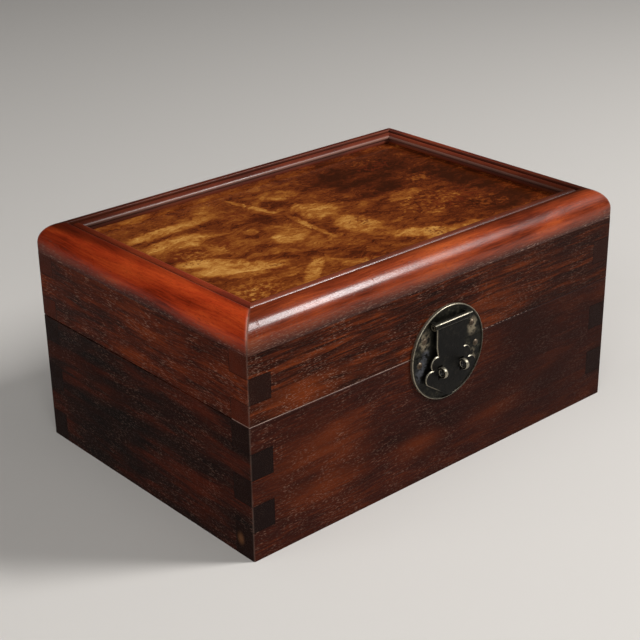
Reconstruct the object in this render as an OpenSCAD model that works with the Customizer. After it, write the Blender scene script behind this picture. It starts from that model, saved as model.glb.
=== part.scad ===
// Hardwood glove box with a hinged lid: finger-jointed boards, a mitred top frame round a
// floating burl panel, a split round lock plate with a cloud-shaped hasp, and butt hinges.
// Origin: middle of the underside. X runs along the front, Y to the back, Z up. Millimetres.

/* [Case] */
// Length of the box along its front
case_w = 300; // [270:1:340]
// Depth of the box from front to back
case_d = 204; // [180:1:240]
// Height of the base, up to the seam
base_h = 84.3; // [78:0.1:100]
// Height of the lid's boards, from the seam up to the top frame
lid_wall_h = 41.9; // [36:0.1:50]
// Thickness of the boards
wall_t = 15.5; // [14.5:0.1:17]
// Radius of the worn upright corners
edge_r = 1; // [0.6:0.1:1.5]
// Width of the eased edges along the seam
seam_ease = 0.5; // [0.3:0.1:0.8]

/* [Finger joints] */
// Height of one finger in the base
finger_h = 16.4; // [13:0.1:17.5]
// Height of the side boards' finger in the lid
lid_finger_h = 15.5; // [11:0.1:18]
// Gap at each glued joint
joint_gap = 0.05; // [0.02:0.01:0.1]

/* [Bottom board] */
// Thickness of the bottom board
bottom_t = 9; // [8:0.5:11]
// Thickness of the bottom board's tongue
bottom_tongue_t = 4; // [3:0.5:4.5]
// How far the tongue reaches into the boards
bottom_tongue_d = 5; // [4:0.5:6]
// Room left for a floating panel to swell
swell_gap = 0.3; // [0.2:0.1:0.6]

/* [Top frame] */
// Width of a frame rail
rail_w = 20.5; // [20:0.5:23]
// Height of a frame rail
rail_t = 19; // [18:0.5:22]
// Radius of the rail's rounded outer edge
round_r = 13.5; // [11:0.5:14]
// Width of the quirk between the rounding and the bead
quirk_w = 1; // [0.6:0.1:1.4]
// Depth of the quirk, and fall of the bead to its two edges
bead_drop = 1.2; // [0.8:0.1:1.6]
// Depth of the burl panel's face below the top of the frame
panel_drop = 6.5; // [5.5:0.5:7.5]
// Thickness of the burl panel
panel_t = 7.5; // [6:0.5:8]
// Thickness of the burl panel's tongue
panel_tongue_t = 4.5; // [3.5:0.5:5]
// How far the burl panel's tongue reaches into the rails
panel_tongue_d = 5; // [4:0.5:6]

/* [Lock plate] */
// Radius of the round plate
plate_r = 30; // [29:0.5:32]
// Thickness of the plate
plate_t = 1.3; // [1:0.1:1.6]
// Distance of the plate's middle below the seam
plate_drop = 3.7; // [2:0.1:5]
// Width of the raised rim
rim_w = 1.2; // [0.8:0.1:1.6]
// Gap between the two parts of the plate at the seam
plate_gap = 0.4; // [0.2:0.1:0.8]

/* [Hasp] */
// Height of the hasp's hinge axis above the seam
hasp_rise = 17.5; // [16:0.1:19]
// Distance of the hasp's hinge axis from the wood
hasp_out = 4.4; // [4.2:0.1:5]
// Outer radius of the hasp's knuckle
hasp_knuckle_r = 2.1; // [1.9:0.1:2.3]
// Radius of the hasp's pin
hasp_pin_r = 1.1; // [0.9:0.1:1.2]
// Radius of the pin's hammered ends
hasp_pin_end_r = 1.5; // [1.4:0.1:1.7]
// Length of each hammered end
hasp_pin_end = 0.4; // [0.3:0.1:0.6]
// Width of the hasp at its knuckle
hasp_w = 24.2; // [23:0.1:25]
// Width of the hasp's neck
neck_w = 22; // [20:0.1:22.8]
// Thickness of the hasp
hasp_t = 1.5; // [1.3:0.1:1.8]
// Gap between the hasp and the plate behind it
hasp_gap = 1.4; // [1.2:0.1:1.6]
// Width of each hinge lug
lug_w = 3.3; // [2.6:0.1:4]
// Radius of the hasp's two upper lobes
upper_lobe_r = 4.9; // [4.5:0.1:5.2]
// Distance of the upper lobes from the middle
upper_lobe_x = 11.8; // [11.4:0.1:12.2]
// Depth of the upper lobes below the hinge axis
upper_lobe_drop = 24.9; // [24.4:0.1:25.4]
// Radius of the two lower lobes
lower_lobe_r = 4.8; // [4.5:0.1:5.2]
// Distance of the lower lobes from the middle
lower_lobe_x = 16.3; // [15.8:0.1:16.8]
// Depth of the lower lobes below the hinge axis
lower_lobe_drop = 32.9; // [32.4:0.1:33.4]
// Radius of the hasp's tip
tip_r = 2; // [1.5:0.1:2.5]
// Depth of the hasp's tip below the hinge axis
tip_drop = 49.2; // [48:0.1:50]
// Bevel round the hasp's edge
hasp_bevel = 0.45; // [0.3:0.05:0.6]

/* [Eye posts] */
// Distance of each eye post from the middle
post_x = 9; // [8:0.1:10]
// Depth of the eye posts' holes below the hasp's hinge axis
post_drop = 30.5; // [30:0.1:31]
// Thickness of an eye post
post_t = 2.5; // [2:0.1:3]
// Outer radius of an eye post
post_r = 3.5; // [3.2:0.1:3.8]
// Radius of the padlock bar's hole
post_bore_r = 1.7; // [1.5:0.1:1.9]
// Gap between the padlock's bar and the hasp
bar_gap = 0.3; // [0.2:0.1:0.5]
// Width of an eye post's neck, measured up the board
post_neck_w = 5; // [4.6:0.1:5.6]
// Gap round an eye post in the hasp's slot
slot_gap = 0.5; // [0.4:0.1:0.7]
// Gap below an eye post in the hasp's slot
slot_foot_gap = 1.2; // [0.8:0.1:1.5]
// Width of an eye post's tail, measured up the board
tail_w = 4; // [3:0.1:4.5]
// Length of each clenched end of a tail
clench_len = 7; // [5:0.5:9]
// Thickness of each clenched end
clench_t = 1.1; // [0.8:0.1:1.4]

/* [Dome nails] */
// Distance of the nails from the plate's middle
nail_ring_r = 23.7; // [23.3:0.1:24.5]
// Angle of the lower nails below the level of the plate's middle
lower_nail_angle = 4; // [2:1:8]
// Angle of the upper nails above the level of the plate's middle
upper_nail_angle = 32.5; // [28:0.5:36]
// Radius of a nail's head
nail_head_r = 2.1; // [1.8:0.1:2.4]
// Height of a nail's head
nail_head_h = 1.1; // [0.8:0.1:1.3]
// Radius of a nail's shank
nail_r = 0.8; // [0.6:0.1:1]
// Length of a nail's shank
nail_len = 11; // [8:0.5:13]

/* [Back hinges] */
// Distance of each hinge from the middle
hinge_x = 85; // [70:1:95]
// Length of a hinge
hinge_len = 32; // [28:1:40]
// Number of knuckles in a hinge
knuckles = 5; // [3:2:7]
// Outer radius of a hinge's knuckles
knuckle_r = 2.5; // [2.2:0.1:2.8]
// Radius of a hinge's pin
pin_r = 1.1; // [0.9:0.1:1.3]
// Width of a leaf, from the pin's axis
leaf_w = 11; // [9.5:0.5:12]
// Thickness of a leaf
leaf_t = 1.4; // [1.2:0.1:1.6]
// Distance of the pin's axis inside the back of the box
axis_inset = 1; // [0.8:0.1:1.3]
// Opening at which the bevelled back edges meet and stop the lid
stop_angle = 105; // [95:1:110]
// Radius of a hinge screw's thread
screw_r = 1; // [0.8:0.1:1.2]
// Radius of a hinge screw's head
screw_head_r = 2; // [1.8:0.1:2.2]
// Length of a hinge screw
screw_len = 9; // [7:0.5:11]
// Metal left between a screw's head and the edge of its leaf
screw_margin = 1; // [0.7:0.1:1.4]

/* [Running gaps] */
// Gap round a pin in a knuckle that turns on it
pin_gap = 0.06; // [0.03:0.01:0.1]
// Gap between neighbouring knuckles
knuckle_gap = 0.2; // [0.1:0.05:0.3]
// Gap round metal that is let into the wood
let_in_gap = 0.1; // [0.05:0.05:0.2]

/* [Hidden] */
$fn = 64;

// Colours as the eye meets them
FRONT_WOOD = "#5a2416";
SIDE_WOOD = "#3e1a12";
LID_WOOD = "#652a18";
RAIL_WOOD = "#96391c";
BURL = "#8a5a22";
INNER_WOOD = "#6b3a22";
PATINA = "#46402c";
BRASS = "#7d6a3c";

BIG = 1000;             // longer than anything cut with it
CUT = 1;                // how far a cutter stands out of what it cuts
half_w = case_w / 2;
half_d = case_d / 2;
wall_top = base_h + lid_wall_h;
case_h = wall_top + rail_t;

// Heights at which the corner joints change hands, from the bottom up. The front and back
// boards own the first finger and every other one, and the lowest takes what is left.
base_steps = [0, base_h - 4 * finger_h, base_h - 3 * finger_h, base_h - 2 * finger_h,
              base_h - finger_h, base_h];
lid_edge_h = (lid_wall_h - lid_finger_h) / 2;
lid_steps = [base_h, base_h + lid_edge_h, base_h + lid_edge_h + lid_finger_h, wall_top];

// Burl panel
panel_top = case_h - panel_drop;

// Lock plate and hasp, seen from the front
plate_z = base_h - plate_drop;
hasp_z = base_h + hasp_rise;
hasp_back = plate_t + hasp_gap;
hasp_front = hasp_back + hasp_t;
lug_in = hasp_w / 2 + knuckle_gap;
lug_out = lug_in + lug_w;
post_z = hasp_z - post_drop;
post_bore_out = hasp_front + bar_gap + post_bore_r;
tail_slot_w = post_t + 2 * let_in_gap;
slot_w = post_t + 2 * slot_gap;
slot_top = post_z + post_r + slot_gap;
slot_bottom = post_z - post_r - slot_foot_gap;

// Back hinges
axis_y = half_d - axis_inset;
bevel_h = axis_inset * tan(stop_angle / 2);
knuckle_pitch = hinge_len / knuckles;
groove_r = knuckle_r + let_in_gap + knuckle_gap;
screw_back = leaf_w - screw_head_r - screw_margin;
screw_rows = [-hinge_len / 2 + hinge_len / 6, 0, hinge_len / 2 - hinge_len / 6];

// ---------------------------------------------------------------- helpers

// Turns a drawing on the front face into place: x to the right, y up, z out of the wood
module on_front() {
    translate([0, -half_d, 0]) rotate([90, 0, 0]) children();
}

// The plan of the case with its worn corners, as a prism from z0 to z1
module case_prism(z0, z1) {
    translate([0, 0, z0]) linear_extrude(z1 - z0) union() {
        square([case_w - 2 * edge_r, case_d], center = true);
        square([case_w, case_d - 2 * edge_r], center = true);
        for (sx = [-1, 1], sy = [-1, 1])
            translate([sx * (half_w - edge_r), sy * (half_d - edge_r)]) circle(edge_r);
    }
}

// A square bar turned on its edge, which eases an outer edge of the case at height z
module ease_bars(z) {
    side = seam_ease * sqrt(2);
    for (sy = [-1, 1])
        translate([0, sy * half_d, z]) rotate([45, 0, 0]) cube([BIG, side, side], center = true);
    for (sx = [-1, 1])
        translate([sx * half_w, 0, z]) rotate([0, 45, 0]) cube([side, BIG, side], center = true);
}

// The room that the bottom board's tongue takes in the boards round it
module bottom_groove() {
    reach_w = case_w - 2 * wall_t + 2 * bottom_tongue_d;
    reach_d = case_d - 2 * wall_t + 2 * bottom_tongue_d;
    translate([-reach_w / 2, -reach_d / 2, (bottom_t - bottom_tongue_t) / 2])
        cube([reach_w, reach_d, bottom_tongue_t]);
}

// The corner blocks of the case between two heights, with the glue gap round them
module corner_blocks(z0, z1) {
    side = wall_t + joint_gap;
    for (sx = [-1, 1], sy = [-1, 1])
        translate([sx * (half_w - side / 2 + CUT / 2), sy * (half_d - side / 2 + CUT / 2),
                   (z0 + z1) / 2])
            cube([side + CUT, side + CUT, z1 - z0 + 2 * joint_gap], center = true);
}

// Cuts away the fingers that the other pair of boards owns: pair 0 is front and back
module without_fingers(steps, pair) {
    difference() {
        children();
        for (i = [1 - pair : 2 : len(steps) - 2]) {
            low = i == 0 ? steps[i] - CUT : steps[i];
            high = i == len(steps) - 2 ? steps[i + 1] + CUT : steps[i + 1];
            corner_blocks(low, high);
        }
    }
}

// A board along X against the front (side -1) or back (side 1), before its joints
module long_board(side, z0, z1) {
    intersection() {
        case_prism(z0, z1);
        translate([-half_w, side > 0 ? half_d - wall_t : -half_d, z0])
            cube([case_w, wall_t, z1 - z0]);
    }
}

// A board along Y against the left (side -1) or right (side 1), before its joints
module short_board(side, z0, z1) {
    intersection() {
        case_prism(z0, z1);
        translate([side > 0 ? half_w - wall_t : -half_w, -half_d, z0])
            cube([wall_t, case_d, z1 - z0]);
    }
}

// A long board with its fingers and eased edges
module fingered_long(side, steps) {
    difference() {
        without_fingers(steps, 0) long_board(side, steps[0], steps[len(steps) - 1]);
        ease_bars(base_h);
    }
}

// A short board with its fingers and eased edges
module fingered_short(side, steps) {
    difference() {
        without_fingers(steps, 1) short_board(side, steps[0], steps[len(steps) - 1]);
        ease_bars(base_h);
    }
}

// ---------------------------------------------------------------- back hinges

// What both back boards lose along the seam: the stop bevels and the hinges' grooves
module back_seam_cuts() {
    translate([0, axis_y, base_h]) rotate([90, 0, 90]) {
        linear_extrude(BIG, center = true)
            polygon([[0, 0], [axis_inset * 2, bevel_h * 2], [axis_inset * 2, -bevel_h * 2]]);
        for (sx = [-1, 1])
            translate([0, 0, sx * hinge_x])
                cylinder(r = groove_r, h = hinge_len + 2 * let_in_gap, center = true);
    }
}

// The mortises of the leaves, above (up 1) or below (up -1) the seam
module leaf_mortises(up) {
    depth = leaf_t + let_in_gap;
    for (sx = [-1, 1]) {
        translate([sx * hinge_x, axis_y - (leaf_w + let_in_gap) / 2, base_h + up * (depth - CUT) / 2])
            cube([hinge_len + 2 * let_in_gap, leaf_w + let_in_gap, depth + CUT], center = true);
        for (x = screw_rows)
            translate([sx * hinge_x + x, axis_y - screw_back, base_h]) mirror([0, 0, up > 0 ? 0 : 1])
                cylinder(r = screw_r + let_in_gap / 2, h = screw_len + let_in_gap);
    }
}

// One hinge at the middle of X: the leaf above (up 1) or below (up -1) the seam with its
// knuckles. The lower leaf has the outer knuckles.
module hinge_leaf(up) {
    first = up > 0 ? 1 : 0;
    knuckle_len = knuckle_pitch - knuckle_gap;
    bore_r = pin_r + pin_gap;
    translate([0, axis_y, base_h]) difference() {
        union() {
            // The plate, with notches round the other leaf's knuckles
            difference() {
                translate([-hinge_len / 2, -leaf_w, up > 0 ? let_in_gap / 2 : -leaf_t - let_in_gap / 2])
                    cube([hinge_len, leaf_w, leaf_t]);
                for (i = [1 - first : 2 : knuckles - 1])
                    translate([-hinge_len / 2 + (i + 0.5) * knuckle_pitch, 0, 0])
                        cube([knuckle_pitch + knuckle_gap, 2 * (knuckle_r + knuckle_gap), BIG], center = true);
            }
            for (i = [first : 2 : knuckles - 1])
                translate([-hinge_len / 2 + (i + 0.5) * knuckle_pitch, 0, 0])
                    rotate([0, 90, 0]) cylinder(r = knuckle_r, h = knuckle_len, center = true);
        }
        rotate([0, 90, 0]) cylinder(r = bore_r, h = BIG, center = true);
        for (x = screw_rows)
            translate([x, -screw_back, 0]) mirror([0, 0, up > 0 ? 0 : 1]) screw_sink();
    }
}

// The countersunk hole of a hinge screw, from the seam up through the leaf
module screw_sink() {
    head = screw_head_r + let_in_gap;
    shank = screw_r + let_in_gap;
    translate([0, 0, let_in_gap / 2]) rotate_extrude()
        polygon([[0, -CUT], [head, -CUT], [head, 0], [shank, leaf_t], [shank, leaf_t + CUT], [0, leaf_t + CUT]]);
}

// A countersunk screw that points up, with its slotted head at the seam
module hinge_screw() {
    tip = screw_r / 4;
    difference() {
        translate([0, 0, let_in_gap / 2]) rotate_extrude()
            polygon([[0, 0], [screw_head_r, 0], [screw_r, leaf_t], [screw_r, screw_len - 2 * screw_r],
                     [tip, screw_len], [0, screw_len]]);
        cube([2 * screw_head_r + CUT, screw_r / 2, leaf_t], center = true);
    }
}

// The screws of the leaves above (up 1) or below (up -1) the seam
module hinge_screws(up) {
    for (sx = [-1, 1], x = screw_rows)
        translate([sx * hinge_x + x, axis_y - screw_back, base_h]) mirror([0, 0, up > 0 ? 0 : 1]) hinge_screw();
}

// ---------------------------------------------------------------- base

module base_front() {
    color(FRONT_WOOD) difference() {
        fingered_long(-1, base_steps);
        bottom_groove();
        on_front() {
            post_tail_holes();
            nail_holes(-lower_nail_angle);
        }
    }
}

module base_back() {
    color(FRONT_WOOD) difference() {
        fingered_long(1, base_steps);
        bottom_groove();
        back_seam_cuts();
        leaf_mortises(-1);
    }
}

module base_side(side) {
    difference() {
        fingered_short(side, base_steps);
        bottom_groove();
    }
}

module base_left() {
    color(SIDE_WOOD) base_side(-1);
}

module base_right() {
    color(SIDE_WOOD) base_side(1);
}

module base_bottom() {
    field_w = case_w - 2 * (wall_t + swell_gap);
    field_d = case_d - 2 * (wall_t + swell_gap);
    tongue = bottom_tongue_d - swell_gap;
    rest = joint_gap / 2;
    color(INNER_WOOD) union() {
        translate([-field_w / 2, -field_d / 2, 0]) cube([field_w, field_d, bottom_t]);
        translate([-field_w / 2 - swell_gap - tongue, -field_d / 2 - swell_gap - tongue,
                   (bottom_t - bottom_tongue_t) / 2 + rest])
            cube([field_w + 2 * (swell_gap + tongue), field_d + 2 * (swell_gap + tongue),
                  bottom_tongue_t - 2 * rest]);
    }
}

// ---------------------------------------------------------------- lid

module lid_front() {
    color(LID_WOOD) difference() {
        fingered_long(-1, lid_steps);
        on_front() nail_holes(upper_nail_angle);
    }
}

module lid_back() {
    color(LID_WOOD) difference() {
        fingered_long(1, lid_steps);
        back_seam_cuts();
        leaf_mortises(1);
    }
}

module lid_left() {
    color(LID_WOOD) fingered_short(-1, lid_steps);
}

module lid_right() {
    color(LID_WOOD) fingered_short(1, lid_steps);
}

// Section of a rail: x runs in from the outer face, y up from the lid's boards. A rounded
// outer edge, a quirk, a bead and, below the bead, the groove for the burl panel.
module rail_section() {
    bead_in = round_r + quirk_w;
    bead_half = (rail_w - bead_in) / 2;
    bead_r = (bead_half * bead_half + bead_drop * bead_drop) / (2 * bead_drop);
    groove_y = rail_t - panel_drop - panel_tongue_t;
    difference() {
        union() {
            square([round_r, rail_t - round_r]);
            translate([round_r, 0]) square([rail_w - round_r, rail_t - bead_drop]);
            intersection() {
                translate([round_r, rail_t - round_r]) circle(round_r);
                translate([0, rail_t - round_r]) square(round_r);
            }
            intersection() {
                translate([bead_in + bead_half, rail_t - bead_r]) circle(bead_r);
                translate([bead_in, rail_t - bead_drop]) square([2 * bead_half, bead_drop + CUT]);
            }
        }
        translate([rail_w - panel_tongue_d, groove_y]) square([panel_tongue_d + CUT, panel_tongue_t]);
    }
}

// A rail of the given length with mitred ends, lying along X with its outer face to -Y
module rail(length, depth) {
    mitre = joint_gap * sqrt(2);
    half = length / 2;
    intersection() {
        translate([-half, -depth / 2, wall_top]) rotate([90, 0, 90]) linear_extrude(length) rail_section();
        translate([0, 0, wall_top]) linear_extrude(rail_t + CUT)
            polygon([[-half + mitre, -depth / 2], [half - mitre, -depth / 2],
                     [half - mitre - rail_w, -depth / 2 + rail_w], [-half + mitre + rail_w, -depth / 2 + rail_w]]);
    }
}

module rail_front() {
    color(RAIL_WOOD) intersection() {
        rail(case_w, case_d);
        case_prism(wall_top, case_h);
    }
}

module rail_back() {
    color(RAIL_WOOD) intersection() {
        rotate([0, 0, 180]) rail(case_w, case_d);
        case_prism(wall_top, case_h);
    }
}

module rail_left() {
    color(RAIL_WOOD) intersection() {
        rotate([0, 0, -90]) rail(case_d, case_w);
        case_prism(wall_top, case_h);
    }
}

module rail_right() {
    color(RAIL_WOOD) intersection() {
        rotate([0, 0, 90]) rail(case_d, case_w);
        case_prism(wall_top, case_h);
    }
}

module burl_panel() {
    field_w = case_w - 2 * (rail_w + swell_gap);
    field_d = case_d - 2 * (rail_w + swell_gap);
    tongue = panel_tongue_d - swell_gap;
    rest = joint_gap / 2;
    color(BURL) union() {
        translate([-field_w / 2, -field_d / 2, panel_top - panel_t]) cube([field_w, field_d, panel_t - rest]);
        translate([-field_w / 2 - swell_gap - tongue, -field_d / 2 - swell_gap - tongue,
                   panel_top - panel_tongue_t + rest])
            cube([field_w + 2 * (swell_gap + tongue), field_d + 2 * (swell_gap + tongue),
                  panel_tongue_t - 2 * rest]);
    }
}

// ---------------------------------------------------------------- lock plate

// The whole round plate with its raised rim, on the front face
module whole_plate() {
    translate([0, plate_z, 0]) {
        cylinder(r = plate_r, h = plate_t);
        translate([0, 0, plate_t]) rotate_extrude() intersection() {
            translate([plate_r - rim_w / 2, 0]) circle(rim_w / 2);
            square([plate_r, rim_w]);
        }
    }
}

// The part of the plate above (up 1) or below (up -1) the seam
module half_plate(up) {
    edge = base_h + up * plate_gap / 2;
    intersection() {
        whole_plate();
        translate([-plate_r, up > 0 ? edge : edge - 2 * plate_r, -CUT])
            cube([2 * plate_r, 2 * plate_r, plate_t + rim_w + 2 * CUT]);
    }
}

// Places children at the pair of nails at an angle above the level of the plate's middle
module at_nails(angle) {
    for (sx = [-1, 1])
        translate([sx * nail_ring_r * cos(angle), plate_z + nail_ring_r * sin(angle), 0]) children();
}

module nail_holes(angle) {
    at_nails(angle) translate([0, 0, -nail_len]) cylinder(r = nail_r + let_in_gap / 2, h = nail_len + 2 * plate_t);
}

// A dome-headed nail whose head sits on the plate
module dome_nail() {
    dome_r = (nail_head_r * nail_head_r + nail_head_h * nail_head_h) / (2 * nail_head_h);
    point = 3 * nail_r;
    union() {
        intersection() {
            translate([0, 0, plate_t + nail_head_h - dome_r]) sphere(dome_r);
            translate([0, 0, plate_t]) cylinder(r = nail_head_r + CUT, h = nail_head_h + CUT);
        }
        translate([0, 0, point - nail_len]) cylinder(r = nail_r, h = nail_len + plate_t + nail_head_h / 3 - point);
        translate([0, 0, -nail_len]) cylinder(r1 = nail_r / 4, r2 = nail_r, h = point);
    }
}

module lock_plate_lower() {
    color(PATINA) on_front() difference() {
        half_plate(-1);
        nail_holes(-lower_nail_angle);
        post_tail_holes();
    }
}

module lock_plate_upper() {
    color(PATINA) on_front() difference() {
        union() {
            half_plate(1);
            for (sx = [-1, 1]) lug(sx);
        }
        nail_holes(upper_nail_angle);
        translate([0, hasp_z, hasp_out]) rotate([0, 90, 0])
            cylinder(r = hasp_pin_r + pin_gap / 2, h = BIG, center = true);
    }
}

// A round hinge lug with its foot on the plate
module lug(side) {
    translate([side * (lug_in + lug_out) / 2, hasp_z, 0]) {
        translate([0, 0, hasp_out]) rotate([0, 90, 0]) cylinder(r = hasp_knuckle_r, h = lug_w, center = true);
        translate([-lug_w / 2, -hasp_knuckle_r, plate_t / 2])
            cube([lug_w, 2 * hasp_knuckle_r, hasp_out - plate_t / 2]);
    }
}

module lower_plate_nails() {
    color(BRASS) on_front() at_nails(-lower_nail_angle) dome_nail();
}

module upper_plate_nails() {
    color(BRASS) on_front() at_nails(upper_nail_angle) dome_nail();
}

module hasp_pin() {
    color(BRASS) on_front() translate([0, hasp_z, hasp_out]) rotate([0, 90, 0]) {
        cylinder(r = hasp_pin_r, h = 2 * lug_out, center = true);
        for (sx = [-1, 1]) translate([0, 0, sx * (lug_out + hasp_pin_end / 2)])
            cylinder(r = hasp_pin_end_r, h = hasp_pin_end, center = true);
    }
}

// ---------------------------------------------------------------- eye posts

module post_tail_holes() {
    for (sx = [-1, 1])
        translate([sx * post_x - tail_slot_w / 2, post_z - tail_w / 2 - let_in_gap, -wall_t - CUT])
            cube([tail_slot_w, tail_w + 2 * let_in_gap, wall_t + plate_t + 2 * CUT]);
}

// A flat eye on a square tail that goes through the board and is clenched both ways inside
module eye_post() {
    inner = -wall_t - clench_t;
    rotate([0, 90, 0]) difference() {
        union() {
            translate([-post_bore_out, 0, 0]) cylinder(r = post_r, h = post_t, center = true);
            translate([-post_bore_out, -post_neck_w / 2, -post_t / 2])
                cube([post_bore_out - plate_t, post_neck_w, post_t]);
        }
        translate([-post_bore_out, 0, 0]) cylinder(r = post_bore_r, h = post_t + CUT, center = true);
    }
    translate([-post_t / 2, -tail_w / 2, inner]) cube([post_t, tail_w, plate_t - inner + joint_gap]);
    translate([-post_t / 2, -tail_w / 2 - clench_len, inner])
        cube([post_t, tail_w + 2 * clench_len, clench_t - joint_gap]);
}

module eye_posts() {
    color(PATINA) on_front() for (sx = [-1, 1]) translate([sx * post_x, post_z, 0]) eye_post();
}

// ---------------------------------------------------------------- hasp

// A round lobe of the hasp with a bevelled front edge
module lobe(x, drop, r) {
    translate([x, hasp_z - drop, hasp_back]) {
        cylinder(r = r, h = hasp_t - hasp_bevel, $fn = 40);
        translate([0, 0, hasp_t - hasp_bevel]) cylinder(r1 = r, r2 = r - hasp_bevel, h = hasp_bevel, $fn = 40);
    }
}

// A bar across the hasp with bevelled front edges, seen from the front
module cross_bar(drop, width) {
    translate([0, hasp_z - drop, hasp_back]) {
        translate([-width / 2, 0, 0]) cube([width, 0.1, hasp_t - hasp_bevel]);
        translate([-width / 2 + hasp_bevel, 0, 0]) cube([width - 2 * hasp_bevel, 0.1, hasp_t]);
    }
}

module hasp() {
    neck_drop = upper_lobe_drop - upper_lobe_r;
    waist_drop = neck_drop * 0.72;
    color(PATINA) on_front() difference() {
        union() {
            translate([0, hasp_z, hasp_out]) rotate([0, 90, 0])
                cylinder(r = hasp_knuckle_r, h = hasp_w, center = true);
            hull() {
                cross_bar(0, hasp_w);
                cross_bar(waist_drop, hasp_w);
            }
            hull() {
                cross_bar(waist_drop, hasp_w);
                cross_bar(neck_drop, neck_w);
            }
            hull() {
                cross_bar(neck_drop, neck_w);
                cross_bar(upper_lobe_drop, neck_w);
            }
            hull() for (sx = [-1, 1]) lobe(sx * upper_lobe_x, upper_lobe_drop, upper_lobe_r);
            hull() {
                for (sx = [-1, 1]) lobe(sx * lower_lobe_x, lower_lobe_drop, lower_lobe_r);
                lobe(0, tip_drop - tip_r, tip_r);
            }
        }
        translate([0, hasp_z, hasp_out]) rotate([0, 90, 0])
            cylinder(r = hasp_pin_r + pin_gap, h = BIG, center = true);
        for (sx = [-1, 1])
            translate([sx * post_x - slot_w / 2, slot_bottom, 0]) cube([slot_w, slot_top - slot_bottom, hasp_front + CUT]);
    }
}

// ---------------------------------------------------------------- hinge nodes

module hinge_left_lower() {
    color(BRASS) translate([-hinge_x, 0, 0]) hinge_leaf(-1);
}

module hinge_right_lower() {
    color(BRASS) translate([hinge_x, 0, 0]) hinge_leaf(-1);
}

module hinge_left_upper() {
    color(BRASS) translate([-hinge_x, 0, 0]) hinge_leaf(1);
}

module hinge_right_upper() {
    color(BRASS) translate([hinge_x, 0, 0]) hinge_leaf(1);
}

module hinge_pins() {
    color(BRASS) for (sx = [-1, 1])
        translate([sx * hinge_x, axis_y, base_h]) rotate([0, 90, 0])
            cylinder(r = pin_r, h = hinge_len - knuckle_gap, center = true);
}

module lower_hinge_screws() {
    color(BRASS) hinge_screws(-1);
}

module upper_hinge_screws() {
    color(BRASS) hinge_screws(1);
}

base_front();
base_back();
base_left();
base_right();
base_bottom();
lock_plate_lower();
eye_posts();
lower_plate_nails();
hinge_left_lower();
hinge_right_lower();
hinge_pins();
lower_hinge_screws();
lid_front();
lid_back();
lid_left();
lid_right();
rail_front();
rail_back();
rail_left();
rail_right();
burl_panel();
lock_plate_upper();
hasp_pin();
upper_plate_nails();
hinge_left_upper();
hinge_right_upper();
upper_hinge_screws();
hasp();
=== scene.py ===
"""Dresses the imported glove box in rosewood, burl and patinated brass, and sets it in a plain
studio. Every length is in metres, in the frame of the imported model: X along the front, Y to
the back, Z up, with the origin in the middle of the underside."""

from __future__ import annotations

import logging
import math
from collections.abc import Callable
from dataclasses import dataclass
from enum import Enum
from functools import partial

import bmesh
import bpy
import numpy as np
from mathutils import Matrix, Quaternion, Vector

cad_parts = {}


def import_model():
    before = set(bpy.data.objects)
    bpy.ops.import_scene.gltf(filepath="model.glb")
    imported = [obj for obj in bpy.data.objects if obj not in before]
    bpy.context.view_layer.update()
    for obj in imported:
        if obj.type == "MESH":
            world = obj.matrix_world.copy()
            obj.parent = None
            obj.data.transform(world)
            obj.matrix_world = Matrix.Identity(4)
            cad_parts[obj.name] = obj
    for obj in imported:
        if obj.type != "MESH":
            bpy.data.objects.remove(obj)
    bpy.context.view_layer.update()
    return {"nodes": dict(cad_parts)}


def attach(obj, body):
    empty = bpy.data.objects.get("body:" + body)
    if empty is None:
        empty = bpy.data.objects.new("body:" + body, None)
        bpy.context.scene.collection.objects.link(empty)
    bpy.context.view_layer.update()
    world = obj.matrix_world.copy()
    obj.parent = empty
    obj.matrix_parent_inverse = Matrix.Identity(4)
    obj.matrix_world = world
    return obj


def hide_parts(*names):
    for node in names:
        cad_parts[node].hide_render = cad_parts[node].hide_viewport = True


Piece, Material = bpy.types.Object, bpy.types.Material
Node, Socket = bpy.types.Node, bpy.types.NodeSocket
Adder = Callable[..., Node]

MM = 0.001
# Half the box's width and depth, a board's thickness, the seam's height, and the dark line that a
# joint leaves on each board
HALF_W, HALF_D, BOARD, SEAM_Z, HAIRLINE = 150 * MM, 102 * MM, 15.5 * MM, 84.3 * MM, 0.16 * MM
# Eases a MapRange, which takes a value, the range it comes from, and the range it goes to, 0 to 1
# if none is given
SMOOTH = {"interpolation_type": "SMOOTHSTEP"}
# The pale of dust in pores, which on the boards also stands for painted glints
PALE_DUST_AND_GLINT = "#a8826f"

log = logging.getLogger("glove_box")


# ---------- small tools


def linear(colour: str) -> tuple[float, float, float, float]:
    """Turns an sRGB hex colour into the linear values that a shader takes.

    Args:
        colour: The colour as "#rrggbb".

    Returns:
        Red, green, blue and an alpha of 1, each channel c as ((c + 0.055) / 1.055) ** 2.4
        above the toe of the curve and c / 12.92 on it.
    """
    channels = [int(colour[i:i + 2], 16) / 255 for i in (1, 3, 5)]
    red, green, blue = (c / 12.92 if c <= 0.04045 else ((c + 0.055) / 1.055) ** 2.4 for c in channels)
    return red, green, blue, 1.0


def plug_in(node: Node, inputs: dict | tuple) -> None:
    """Gives a node what goes into it.

    Args:
        node: The node.
        inputs: Values in the order of its sockets, or by socket name or number. An output is
            linked, and so is another node, by the first of its outputs that is in use.
    """
    for key, value in inputs.items() if isinstance(inputs, dict) else enumerate(inputs):
        if isinstance(value, Node):
            value = next(output for output in value.outputs if output.enabled)
        if isinstance(value, Socket):
            node.id_data.links.new(value, node.inputs[key])
        else:
            node.inputs[key].default_value = value


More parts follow.
